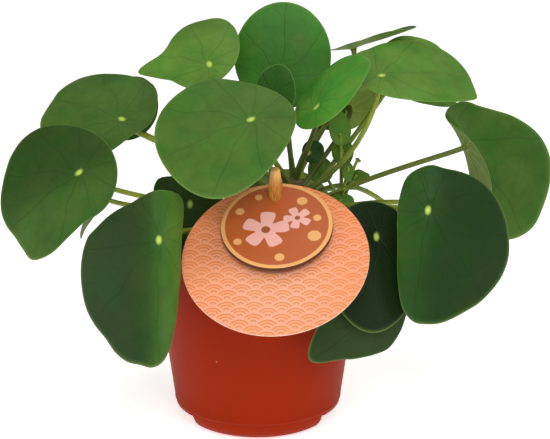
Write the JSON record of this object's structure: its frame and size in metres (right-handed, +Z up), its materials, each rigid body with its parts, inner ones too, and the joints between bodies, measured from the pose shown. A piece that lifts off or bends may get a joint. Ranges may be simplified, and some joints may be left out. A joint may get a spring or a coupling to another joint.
{
  "type": "potted plant",
  "caption": "Potted plant with round leaves on long stalks round a short trunk, in a tapered plastic pot with a round label on a peg.",
  "frame": {"origin": "middle of the flat underside of the pot", "axes": "+Z up along the pot's axis, -Y towards the front, where the label lies, +X to the right seen from the front"},
  "size_m": [0.3027, 0.2058, 0.2278],
  "materials": {
    "pot_plastic": "terracotta-coloured moulded plastic, smooth satin",
    "potting_soil": "dark crumbly peat mix, matt",
    "trunk_bark": "thin brown-green bark, matt, with pale leaf scars",
    "label_card": "printed card, salmon pink with orange waves, matt",
    "label_disc": "printed disc, brown with pale orange dots, satin",
    "peg_wood": "light turned wood, matt",
    "pup_leaf": "young leaf, soft green, satin",
    "leaf_blade": "dark green leathery leaf, satin",
    "leaf_petiole": "yellow-green fleshy stalk, satin"
  },
  "bodies": {
    "root": {"pot": "pot_plastic", "soil": "potting_soil", "trunk": "trunk_bark", "label_card": "label_card", "label_disc": "label_disc", "label_peg": "peg_wood", "pup": "pup_leaf", "leaf_01_blade": "leaf_blade", "leaf_01_petiole": "leaf_petiole", "leaf_02_blade": "leaf_blade", "leaf_02_petiole": "leaf_petiole", "leaf_03_blade": "leaf_blade", "leaf_03_petiole": "leaf_petiole", "leaf_04_blade": "leaf_blade", "leaf_04_petiole": "leaf_petiole", "leaf_05_blade": "leaf_blade", "leaf_05_petiole": "leaf_petiole", "leaf_06_blade": "leaf_blade", "leaf_06_petiole": "leaf_petiole", "leaf_07_blade": "leaf_blade", "leaf_07_petiole": "leaf_petiole", "leaf_08_blade": "leaf_blade", "leaf_08_petiole": "leaf_petiole", "leaf_09_blade": "leaf_blade", "leaf_09_petiole": "leaf_petiole", "leaf_10_blade": "leaf_blade", "leaf_10_petiole": "leaf_petiole", "leaf_11_blade": "leaf_blade", "leaf_11_petiole": "leaf_petiole", "leaf_12_blade": "leaf_blade", "leaf_12_petiole": "leaf_petiole", "leaf_13_blade": "leaf_blade", "leaf_13_petiole": "leaf_petiole", "leaf_14_blade": "leaf_blade", "leaf_14_petiole": "leaf_petiole", "leaf_15_blade": "leaf_blade", "leaf_15_petiole": "leaf_petiole", "leaf_16_blade": "leaf_blade", "leaf_16_petiole": "leaf_petiole", "leaf_17_blade": "leaf_blade", "leaf_17_petiole": "leaf_petiole", "leaf_18_blade": "leaf_blade", "leaf_18_petiole": "leaf_petiole", "leaf_19_blade": "leaf_blade", "leaf_19_petiole": "leaf_petiole", "leaf_20_blade": "leaf_blade", "leaf_20_petiole": "leaf_petiole", "leaf_21_blade": "leaf_blade", "leaf_21_petiole": "leaf_petiole", "leaf_22_blade": "leaf_blade", "leaf_22_petiole": "leaf_petiole", "leaf_23_blade": "leaf_blade", "leaf_23_petiole": "leaf_petiole", "leaf_24_blade": "leaf_blade", "leaf_24_petiole": "leaf_petiole", "leaf_25_blade": "leaf_blade", "leaf_25_petiole": "leaf_petiole", "leaf_26_blade": "leaf_blade", "leaf_26_petiole": "leaf_petiole"}
  },
  "joints": []
}
